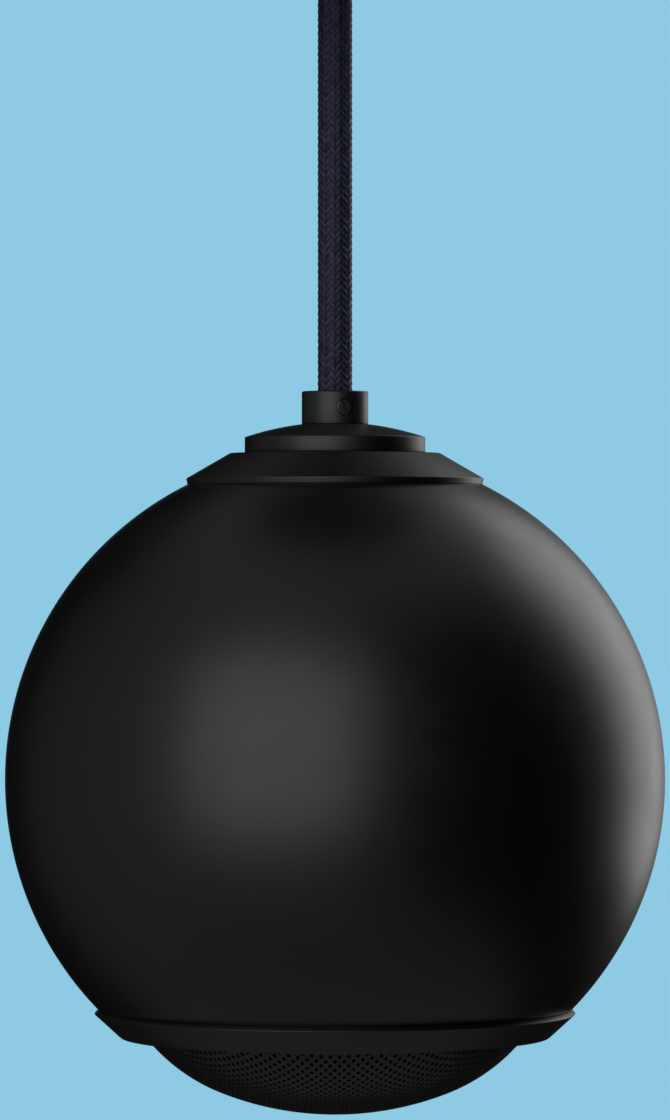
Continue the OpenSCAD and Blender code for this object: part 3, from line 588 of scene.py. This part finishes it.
class PENDANT_OT_cord(bpy.types.Operator):
    """Makes the cord: a sheath along its route, and two opposite sets of braided yarn"""
    bl_idname = "pendant.cord"
    bl_label = "Braided cord"
    top: length("Top", "Upper end of the yarns below the ceiling", 28)
    bottom: length("Bottom", "Lower end of the yarns below the ceiling", 107)
    steps: count("Steps", "Points of a yarn between two crossings", 2, 2, 8)
    flat: bpy.props.FloatProperty(name="Flat", default=1.4, min=1.0, max=4.0, subtype="FACTOR",
                                  description="How long a yarn stays outside or inside")
    crown: length("Crown", "How much higher the middle of a bundle lies than its sides", 0.1)

    def yarn(self, cord, way, start, sink):
        """Centre line of one yarn. It runs outside the other set over two bundles and inside it
        under two, always at the same places round the cord, which gives upright herringbone."""
        crossing = cord.lay / (4 * cord.pairs)
        swell = cord.yarn / 2
        middle = cord.diameter / 2 - cord.yarn / 2 - swell - sink
        points = round((self.bottom - self.top) / crossing) * self.steps
        line = []
        for i in range(points + 1):
            depth = (self.bottom - self.top) * i / points
            turn = way * 2 * math.pi * depth / cord.lay + start
            side = max(-1, min(1, self.flat * math.cos(cord.pairs * turn + math.pi / 4)))
            r = middle + way * swell * side
            line.append((r * math.cos(turn), r * math.sin(turn), -self.top - depth))
        return line

    def braid(self, cord, way, name, surface):
        """All the yarns that run one way round, with a space of half a yarn between bundles."""
        bundle = math.pi / cord.pairs
        lines = []
        for k in range(2 * cord.yarns):
            off_middle = k % cord.yarns - (cord.yarns - 1) / 2
            start = bundle * (k // cord.yarns + off_middle / (cord.yarns + 0.5))
            lines.append(self.yarn(cord, way, start, self.crown * abs(off_middle)))
        made = run_nodes(name, linked(name, line_curve(name, lines)), braid_tree(), {
            "Yarn radius": cord.yarn / 2, "Pairs": cord.pairs, "Finish": surface})
        made.data.shade_smooth()
        return made

    def execute(self, context):
        cord = context.scene.cord
        data = line_curve("cord_sheath", [[(0, 0, height) for height in CORD_ROUTE]])
        # The inner yarns sink into the sheath a little, so nothing shows between them
        yarns_deep = 1.7
        data.bevel_depth = cord.diameter / 2 - yarns_deep * cord.yarn
        data.bevel_resolution = 8
        data.use_fill_caps = True
        data.materials.append(rubber_core())
        sheath = linked("cord_sheath", data)
        sets = []
        for way, side in ((1, "right"), (-1, "left")):
            yarn = braid_yarn("viscose_yarn_" + side, way, self.top)
            sets.append(self.braid(cord, way, "cord_yarns_" + side, yarn))
        hang(sheath, "cord_braid", "cord")
        for made in sets:
            hang(made, "cord_braid")
        return {"FINISHED"}


class PENDANT_OT_shell(bpy.types.Operator):
    """Makes the spun steel sphere"""
    bl_idname = "pendant.shell"
    bl_label = "Shell"

    def execute(self, context):
        ball, top = in_mm("sphere"), in_mm("top")
        inner = ball.radius - ball.wall
        outline = arc(0, 0, ball.radius, height_angle(ball.radius, -ball.opening),
                      width_angle(ball.radius, top.hole), 120)
        outline += arc(0, 0, inner, width_angle(inner, top.hole),
                       height_angle(inner, -ball.opening), 60)
        coat = powder_coat("powder_coat_sphere", SPHERE_ROUGHNESS)
        made = lathe("spun_shell", outline, coat, lift=-ball.drop, segments=256)
        hang(made, "powder_coat", "shell")
        return {"FINISHED"}


def cap_heights(ball, top, grip):
    """Heights over the sphere's centre of the flange's foot and ledge, the cap's dome centre and
    the seat of the cord grip."""
    foot = math.sqrt(ball.radius ** 2 - top.foot ** 2)
    ledge = foot + top.height
    dome = ledge + 2 * top.gap + top.cap_wall - math.sqrt(top.cap_dome ** 2 - top.cap ** 2)
    return foot, ledge, dome, dome + math.sqrt(top.cap_dome ** 2 - grip.radius ** 2)


def cord_grip(name, grip, stem, turn, surface):
    """A cord grip with its barrel above the seat, and a hole for its clamping screw."""
    r = grip.radius
    mouth_width, mouth_depth = 0.4, 0.5
    outline = [(grip.bore, -stem), (grip.stem, -stem, 0.3), (grip.stem, 0), (r, 0, 0.15),
               (r, grip.height, grip.chamfer), (grip.bore + mouth_width, grip.height, 0.15),
               (grip.bore, grip.height - mouth_depth)]
    made = lathe(name, rounded(outline), surface, segments=128)
    thread_gap = 0.06
    hole = grip.screw + thread_gap
    tool = lathe("hole", [(0, 0), (hole, 0), (hole, 2 * r), (0, 2 * r)], surface, segments=64)
    placed(tool, lifted(grip.height / 2) @ turned_to(turn, "Z") @ turned_to(90, "X"))
    return cut_away(made, [tool])


def slotted_screw(name, outline, slot_width, slot_floor, surface):
    """A turned screw with a straight slot across its upper face. The cutter for the slot
    reaches well past the head."""
    made = lathe(name, rounded(outline), surface, segments=64)
    reach, depth = 40, 4
    slot = bpy.data.meshes.new("slot")
    work = bmesh.new()
    bmesh.ops.create_cube(work, size=1)
    bmesh.ops.scale(work, vec=Vector((reach, slot_width, depth)) * MM, verts=work.verts)
    bmesh.ops.translate(work, vec=Vector((0, 0, slot_floor + depth / 2)) * MM, verts=work.verts)
    work.to_mesh(slot)
    work.free()
    return cut_away(made, [finish_mesh("slot", slot, surface)])


def clamping_screw(name, grip, turn, tilt, surface):
    """The headless screw that clamps the cord, just below the barrel's surface."""
    r = grip.screw
    slot_depth, sunk = 0.8, 0.15
    outline = [(0, -grip.screw_length), (r, -grip.screw_length, 0.1), (r, 0, 0.3), (0, 0)]
    made = slotted_screw(name, outline, grip.slot, -slot_depth, surface)
    return placed(made, lifted(grip.height / 2) @ turned_to(turn, "Z") @ turned_to(90, "X")
                  @ lifted(grip.radius - sunk) @ turned_to(90 + tilt, "Z"))


class PENDANT_OT_top_fitting(bpy.types.Operator):
    """Makes the conical base flange, the domed cap disc, the cord grip and its clamping screw"""
    bl_idname = "pendant.top_fitting"
    bl_label = "Top fitting"
    turn: bpy.props.FloatProperty(name="Turn", description="Turn of the screw from the front",
                                  default=17, min=0, max=90)
    tilt: bpy.props.FloatProperty(name="Tilt", description="Tilt of the screw's slot",
                                  default=23, min=0, max=90)

    def execute(self, context):
        ball, top, grip = in_mm("sphere"), in_mm("top"), in_mm("grip")
        foot, ledge, dome, seat = cap_heights(ball, top, grip)
        coat = powder_coat("powder_coat_fittings", FITTINGS_ROUGHNESS)
        turned = turned_black()
        under = arc(0, 0, ball.radius + top.gap, width_angle(ball.radius, top.bore),
                    width_angle(ball.radius, top.foot), 8)
        flange = rounded([(top.bore, ledge), *under, (top.edge, foot + top.edge_height, 0.2),
                          (top.ledge, ledge, 0.35)])
        made = lathe("flange", flange, coat, lift=-ball.drop, segments=256)
        hang(made, "powder_coat", "base_flange")

        low = ledge + 2 * top.gap
        crown = ball.radius + top.gap
        # The dome's arc starts half a degree in, and leaves room for the fillet at its edge
        past_fillet = 0.5
        domed = arc(0, dome, top.cap_dome, width_angle(top.cap_dome, top.cap) + past_fillet,
                    width_angle(top.cap_dome, top.hole), 24)
        cap = rounded([(top.hole, crown), (top.bore, crown), (top.bore, low), (top.cap, low, 0.12),
                       (top.cap, low + top.cap_wall, 0.25), *domed])
        made = lathe("cap", cap, coat, lift=-ball.drop)
        hang(made, "powder_coat", "cap_disc")

        made = cord_grip("collar", grip, grip.lower_stem, self.turn, turned)
        seated = lifted(seat - ball.drop)
        hang(placed(made, seated), "satin_black", "cord_grip")
        made = clamping_screw("collar_screw", grip, self.turn, self.tilt, black_oxide())
        hang(placed(made, seated), "black_screw", "grip_screw")
        return {"FINISHED"}


class PENDANT_OT_bezel(bpy.types.Operator):
    """Makes the bevelled bezel ring with its bead"""
    bl_idname = "pendant.bezel"
    bl_label = "Bezel"

    def execute(self, context):
        ball = in_mm("sphere")
        dome = grille_profile()
        edge = math.sqrt(ball.radius ** 2 - ball.opening ** 2)
        bead = ball.bead
        groove = edge - 1.5 * bead
        # How far the bevel's upper edge stands out past the shell's edge
        overhang = 0.17
        foot = edge + overhang - ball.bevel_width
        # Width and height of the slope between the bevel and the flat underside
        slope_width, slope_height = 0.5, 0.42
        # Gap under the shell's edge, and between the bezel and the dome
        seam, dome_gap = 0.05, 0.3
        low = -ball.bezel_height
        outer = ball.skirt + ball.skirt_wall
        outline = [(ball.skirt, ball.skirt_height, 0.15), (outer, ball.skirt_height, 0.3),
                   (outer, 0), (groove, 0), (groove, -bead), (edge - bead / 2, -seam, 0.15),
                   (edge + bead, -ball.crest, 0.12), (foot, low + slope_height, 0.3),
                   (foot - slope_width, low, 0.25), (dome.radius_at(low) + dome_gap, low, 0.15),
                   (dome.radius_at(-ball.lip) + dome_gap, -ball.lip), (ball.skirt, -ball.lip)]
        made = lathe("bezel_ring", rounded(outline), bpy.data.materials["powder_coat_fittings"],
                     lift=-ball.drop - ball.opening, segments=256)
        hang(made, "powder_coat", "bezel")
        return {"FINISHED"}


def grille_profile():
    """The dome's two arcs in millimetres, heights from the shell's edge: a crown about the axis,
    and a shoulder that leaves it in a common tangent and reaches the mouth."""
    ball, dome = in_mm("sphere"), in_mm("grille")
    crown_z = dome.crown - dome.depth
    step = dome.crown - dome.shoulder
    reach = math.hypot(dome.mouth, crown_z + ball.lip)
    tangent = math.atan2(dome.mouth, crown_z + ball.lip) - math.acos(
        (reach ** 2 + step ** 2 - dome.shoulder ** 2) / (2 * reach * step))
    centre_r, centre_z = step * math.sin(tangent), crown_z - step * math.cos(tangent)

    def radius_at(z):
        """Radius of the shoulder's outer face at a height."""
        return centre_r + math.sqrt(dome.shoulder ** 2 - (centre_z - z) ** 2)

    return SimpleNamespace(tangent=tangent, crown_z=crown_z, centre_r=centre_r, centre_z=centre_z,
                           radius_at=radius_at)


def dome_tree():
    """Lays square tiles with a round hole on a lattice, turns it to the diagonal and draws it
    straight down over the dome, as a press does with flat perforated sheet."""
    tree, given = start_tree("perforated_dome", dict.fromkeys(
        ("Pitch", "Reach", "Crown", "Shoulder", "Tangent", "Crown height"), "Float"))
    calc = partial(maths, tree)
    tiles_out = calc("CEIL", calc("DIVIDE", given["Reach"], given["Pitch"]))
    across = calc("MULTIPLY", tiles_out, 2.0)
    side = calc("MULTIPLY", across, given["Pitch"])
    corners = calc("ADD", across, 1.0)
    grid = add(tree, "GeometryNodeMeshGrid", {"Size X": side, "Size Y": side,
                                              "Vertices X": corners, "Vertices Y": corners})
    spot = add(tree, "GeometryNodeInputPosition").outputs[0]
    away = add(tree, "ShaderNodeVectorMath", {0: spot}, operation="LENGTH").outputs["Value"]
    near = calc("LESS_THAN", away, given["Reach"])
    tiles = add(tree, "GeometryNodeInstanceOnPoints", {"Points": grid.outputs["Mesh"],
                                                       "Selection": near,
                                                       "Instance": given["Geometry"]})
    flat = add(tree, "GeometryNodeRealizeInstances", {"Geometry": tiles.outputs["Instances"]})
    sheet = add(tree, "GeometryNodeMergeByDistance", {"Geometry": flat.outputs["Geometry"],
                                                      "Distance": TILE_WELD})
    turned = add(tree, "ShaderNodeVectorRotate", {"Vector": spot, "Angle": math.pi / 4},
                 rotation_type="Z_AXIS").outputs["Vector"]
    parts = add(tree, "ShaderNodeSeparateXYZ", {"Vector": turned}).outputs
    step = calc("SUBTRACT", given["Crown"], given["Shoulder"])
    sine = calc("SINE", given["Tangent"])
    centre_r = calc("MULTIPLY", step, sine)
    centre_drop = calc("MULTIPLY", step, calc("COSINE", given["Tangent"]))

    def drop(radius, out):
        """Depth of an arc's point below the arc's centre."""
        squares = calc("SUBTRACT", calc("MULTIPLY", radius, radius), calc("MULTIPLY", out, out))
        return calc("SQRT", squares)

    crown = drop(given["Crown"], away)
    past_centre = calc("SUBTRACT", away, centre_r)
    shoulder = calc("ADD", centre_drop, drop(given["Shoulder"], past_centre))
    on_crown = calc("LESS_THAN", away, calc("MULTIPLY", given["Crown"], sine))
    depth = add(tree, "GeometryNodeSwitch", {"Switch": on_crown, "False": shoulder, "True": crown},
                input_type="FLOAT").outputs["Output"]
    place = add(tree, "ShaderNodeCombineXYZ", {
        "X": parts["X"], "Y": parts["Y"],
        "Z": calc("SUBTRACT", given["Crown height"], depth)}).outputs["Vector"]
    bent = add(tree, "GeometryNodeSetPosition", {"Geometry": sheet.outputs["Geometry"],
                                                 "Position": place})
    return end_tree(tree, bent.outputs["Geometry"], given["Finish"])


def perforated_tile(pitch, hole, sides=12):
    """A flat square tile with a round hole in its middle, facing down."""
    mesh = bpy.data.meshes.new("grille_tile")
    half = pitch / 2
    turns = [2 * math.pi * k / sides for k in range(sides)]
    verts = [(hole / 2 * math.cos(t), hole / 2 * math.sin(t), 0) for t in turns]
    verts += [(half, half, 0), (-half, half, 0), (-half, -half, 0), (half, -half, 0)]
    quarter = sides // 4
    faces = []
    for q in range(4):
        corner = sides + q
        ring = [(q * quarter + k) % sides for k in range(quarter + 1)]
        faces += [(corner, a, b) for a, b in zip(ring, ring[1:])]
        faces.append((corner, ring[-1], sides + (q + 1) % 4))
    mesh.from_pydata(verts, [], faces)
    return mesh


class PENDANT_OT_grille(bpy.types.Operator):
    """Makes the perforated dome and its flat rim"""
    bl_idname = "pendant.grille"
    bl_label = "Grille"

    def execute(self, context):
        sizes = context.scene.grille
        ball, dome, profile = in_mm("sphere"), in_mm("grille"), grille_profile()
        edge = -ball.drop - ball.opening
        coat = bpy.data.materials["powder_coat_fittings"]
        source = linked("tile", perforated_tile(sizes.pitch, sizes.hole))
        # How far the holes run on behind the bezel's lower edge
        hidden = 0.3
        made = run_nodes("perforated_dome", source, dome_tree(), {
            "Pitch": sizes.pitch,
            "Reach": (profile.radius_at(-ball.bezel_height) + hidden) * MM,
            "Crown": sizes.crown, "Shoulder": sizes.shoulder, "Tangent": profile.tangent,
            "Crown height": (profile.crown_z + edge) * MM, "Finish": coat})
        work = bmesh.new()
        work.from_mesh(made.data)
        bmesh.ops.recalc_face_normals(work, faces=work.faces)
        if sum(f.normal.z for f in work.faces) > 0:
            bmesh.ops.reverse_faces(work, faces=work.faces)
        work.to_mesh(made.data)
        work.free()
        thick = made.modifiers.new("sheet", "SOLIDIFY")
        thick.thickness = sizes.sheet
        thick.offset = -1
        shape = plain_mesh(made)
        made.modifiers.remove(thick)
        made.data = shape
        shape.shade_smooth()
        shape.set_sharp_from_angle(angle=HOLE_EDGE)
        hang(made, "powder_coat", "grille")

        # The plain rim lies a hair inside the holed sheet, and starts just above the bezel's edge.
        # Its inner face meets the flat rim some degrees later than its outer face.
        inset = dome.shoulder - 0.03
        start = 0.8 - ball.bezel_height
        bend = 1.5
        low = height_angle(dome.shoulder, start - profile.centre_z)
        high = height_angle(dome.shoulder, -ball.lip - profile.centre_z)
        outline = arc(profile.centre_r, profile.centre_z, inset, low, high, 6)
        outline += [(dome.rim, -ball.lip), (dome.rim, dome.sheet - ball.lip)]
        outline += arc(profile.centre_r, profile.centre_z, dome.shoulder - dome.sheet,
                       high + bend, low, 6)
        hang(lathe("grille_rim", outline, coat, lift=edge), "powder_coat")
        return {"FINISHED"}


class PENDANT_OT_rose(bpy.types.Operator):
    """Makes the ceiling cup, its side screws, and the upper cord grip"""
    bl_idname = "pendant.rose"
    bl_label = "Ceiling rose"

    def execute(self, context):
        cup, grip, top = in_mm("rose"), in_mm("grip"), in_mm("top")
        coat = bpy.data.materials["powder_coat_fittings"]
        inner = cup.radius - cup.wall
        outline = rounded([(cup.radius, 0, 0.2), (cup.radius, -cup.height, cup.round),
                           (top.hole, -cup.height), (top.hole, cup.wall - cup.height),
                           (inner, cup.wall - cup.height, cup.round - cup.wall), (inner, 0, 0.2)],
                          steps=14)
        made = lathe("rose_cup", outline, coat, segments=256)
        clearance, past = 0.2, 5
        hole = cup.screw + clearance
        near, far = inner - past, cup.radius + past
        tools = []
        for side in (-1, 1):
            drill = [(0, near), (hole, near), (hole, far), (0, far)]
            tool = lathe("hole", drill, coat, segments=32)
            tools.append(placed(tool, lifted(-cup.screw_drop) @ turned_to(90 * side, "Y")))
        hang(cut_away(made, tools), "powder_coat", "ceiling_cup")

        head, rise, slot = 1.9 * cup.screw, 1.3 * cup.screw, 0.4 * cup.screw
        screw = [(0, -cup.screw_length), (cup.screw, -cup.screw_length, 0.3), (cup.screw, 0),
                 (head, 0, 0.15), (head, rise, 0.9), (0, rise)]
        oxide = bpy.data.materials["black_oxide_steel"]
        for side, name in ((-1, "cup_screw_left"), (1, "cup_screw_right")):
            made = slotted_screw(name, screw, slot, rise / 2, oxide)
            placed(made, lifted(-cup.screw_drop) @ turned_to(90 * side, "Y")
                   @ lifted(cup.radius + top.gap))
            hang(made, "black_screw", "cup_screws")

        flip = lifted(-cup.height) @ turned_to(180, "X")
        turned = bpy.data.materials["black_plated_turned_brass"]
        made = cord_grip("rose_collar", grip, grip.upper_stem, 0, turned)
        hang(placed(made, flip), "satin_black", "rose_grip")
        made = clamping_screw("rose_collar_screw", grip, 0, 0, oxide)
        hang(placed(made, flip), "black_screw", "rose_grip_screw")
        return {"FINISHED"}


class PENDANT_OT_inside(bpy.types.Operator):
    """Gives the driver and the other inner pieces their finishes"""
    bl_idname = "pendant.inside"
    bl_label = "Inner parts"

    def execute(self, context):
        for name, (nodes, *look) in PLAIN_FINISHES.items():
            surface = plain_finish(name, *look)
            for node in nodes:
                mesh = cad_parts[node].data
                if not mesh.materials:
                    mesh.materials.append(surface)
                for i in range(len(mesh.materials)):
                    mesh.materials[i] = surface
        return {"FINISHED"}


def area_light(name, centre, turn, rise, distance, width, height, radiance):
    """A soft box that faces a point from a turn to the right of the front and a rise, in degrees;
    its power follows from its size and its radiance."""
    data = bpy.data.lights.new(name, "AREA")
    data.shape = "RECTANGLE"
    data.size, data.size_y = width, height
    data.energy = math.pi * width * height * radiance
    made = linked(name, data)
    turn, rise = math.radians(turn), math.radians(rise)
    level = math.cos(rise)
    away = Vector((math.sin(turn) * level, -math.cos(turn) * level, math.sin(rise)))
    made.location = centre + distance * away
    made.rotation_euler = (-away).to_track_quat("-Z", "Y").to_euler()
    made.visible_camera = False


# Level of the room round the speaker, near eye height: turn in degrees to the right of the front,
# and the level there. It is soft in front and on the left, and black flags hold off the rest.
ROOM_LEVELS = ((-180, 0.0), (-140, 0.0), (-112, 0.14), (-85, 0.23), (-10, 0.23), (35, 0.0),
               (180, 0.0))
# Light overhead, which leans to the back, and underfoot, which leans to the front: its direction,
# where it begins to take over from the level round the speaker, and its own level
POLES = (((0, 0.1, 1), 0.66, 0.32), ((0, -0.2, -1), 0.6, 0.2))
POLE_EDGE = 0.28
# Where the backdrop begins and is full for gloss and glass: how far a direction points backward
BACKDROP_EDGE = (0.975, 0.99)


class PENDANT_OT_stage(bpy.types.Operator):
    """Makes the pale floor, the two soft boxes and the room"""
    bl_idname = "pendant.stage"
    bl_label = "Stage"
    floor_drop: length("Floor", "Ceiling to floor", 2400)
    floor_size: length("Floor size", "Side of the floor", 3400)

    def floor(self, context):
        """A large matt floor."""
        made, tree, surface = material("matt_vinyl_floor", (*context.scene.finishes.ground, 1))
        surface.inputs["Roughness"].default_value = 0.9
        surface.inputs["Specular IOR Level"].default_value = 0.0
        half = self.floor_size / 2
        mesh = bpy.data.meshes.new("floor")
        mesh.from_pydata([(x, y, -self.floor_drop) for x, y in ((-half, -half), (half, -half),
                                                                (half, half), (-half, half))],
                         [], [(0, 1, 2, 3)])
        mesh.materials.append(made)
        linked("floor", mesh)

    def room(self, context):
        """A plain backdrop, and a room of soft levels round the speaker."""
        world = bpy.data.worlds.new("room")
        context.scene.world = world
        world.use_nodes = True
        tree = world.node_tree
        tree.nodes.clear()

        calc = partial(maths, tree)
        toward = add(tree, "ShaderNodeTexCoord").outputs["Generated"]
        parts = add(tree, "ShaderNodeSeparateXYZ", {"Vector": toward}).outputs
        turn = calc("ARCTAN2", parts["X"], calc("MULTIPLY", parts["Y"], -1.0))
        share = remap(tree, turn, (-math.pi, math.pi))
        ramp = add(tree, "ShaderNodeValToRGB", {"Fac": share})
        stops = ramp.color_ramp.elements
        while len(stops) < len(ROOM_LEVELS):
            stops.new(0.5)
        for stop, (degrees, level) in zip(stops, ROOM_LEVELS):
            stop.position = degrees / 360 + 0.5
            stop.color = (level, level, level, 1)
        level = ramp.outputs["Color"]
        for pole, start, brightness in POLES:
            toward_pole = add(tree, "ShaderNodeVectorMath", {0: toward, 1: pole},
                              operation="DOT_PRODUCT").outputs["Value"]
            share = remap(tree, toward_pole, (start, start + POLE_EDGE),
                          interpolation_type="SMOOTHSTEP")
            level = blend(tree, share, level, (brightness, brightness, brightness, 1))
        around = add(tree, "ShaderNodeBackground", {"Color": level})
        backdrop = add(tree, "ShaderNodeBackground", {
            "Color": (*context.scene.finishes.backdrop, 1)})
        # The camera sees the backdrop all round; gloss and glass see it where it hangs, behind
        path = add(tree, "ShaderNodeLightPath").outputs
        behind = remap(tree, parts["Y"], BACKDROP_EDGE)
        shiny = calc("MAXIMUM", path["Is Glossy Ray"], path["Is Transmission Ray"])
        reflected = calc("MULTIPLY", shiny, behind)
        seen = calc("MAXIMUM", path["Is Camera Ray"], reflected)
        mixed = add(tree, "ShaderNodeMixShader", {0: seen, 1: around.outputs["Background"],
                                                  2: backdrop.outputs["Background"]})
        add(tree, "ShaderNodeOutputWorld", {"Surface": mixed.outputs["Shader"]})

    def execute(self, context):
        context.scene.view_settings.view_transform = "Standard"
        self.floor(context)
        self.room(context)
        centre = Vector((0, 0, -context.scene.sphere.drop))
        area_light("key_soft_box", centre, turn=-21.5, rise=14, distance=1.6, width=1.82,
                   height=1.85, radiance=1.35)
        area_light("rim_soft_box", centre, turn=136, rise=16.5, distance=1.5, width=1.0,
                   height=1.75, radiance=1.85)
        return {"FINISHED"}


class PENDANT_PT_parts(bpy.types.Panel):
    """Lists the pieces and their sizes"""
    bl_idname = "PENDANT_PT_parts"
    bl_label = "Pendant speaker"
    bl_space_type = "VIEW_3D"
    bl_region_type = "UI"
    bl_category = "Pendant"

    def draw(self, context):
        for group, kind in GROUPS.items():
            box = self.layout.box()
            box.label(text=kind.__doc__)
            for key in kind.__annotations__:
                box.prop(getattr(context.scene, group), key)
        for step in STEPS:
            self.layout.operator(step.bl_idname)


GROUPS = {"sphere": SphereSizes, "top": TopSizes, "grip": GripSizes, "grille": GrilleSizes,
          "cord": CordSizes, "rose": RoseSizes, "finishes": Finishes}
STEPS = (PENDANT_OT_camera, PENDANT_OT_cord, PENDANT_OT_shell, PENDANT_OT_top_fitting,
         PENDANT_OT_bezel, PENDANT_OT_grille, PENDANT_OT_rose, PENDANT_OT_inside, PENDANT_OT_stage)
CLASSES = (*GROUPS.values(), *STEPS, PENDANT_PT_parts)


def register():
    """Registers the classes and hangs the property groups on the scene."""
    for kind in CLASSES:
        bpy.utils.register_class(kind)
    for name, kind in GROUPS.items():
        setattr(bpy.types.Scene, name, bpy.props.PointerProperty(type=kind))


def unregister():
    """Takes the property groups and the classes away again."""
    for name in GROUPS:
        delattr(bpy.types.Scene, name)
    for kind in reversed(CLASSES):
        bpy.utils.unregister_class(kind)


def main():
    """Makes every piece in order."""
    register()
    for step in STEPS:
        group, name = step.bl_idname.split(".")
        getattr(getattr(bpy.ops, group), name)()


if __name__ == "__main__":
    main()
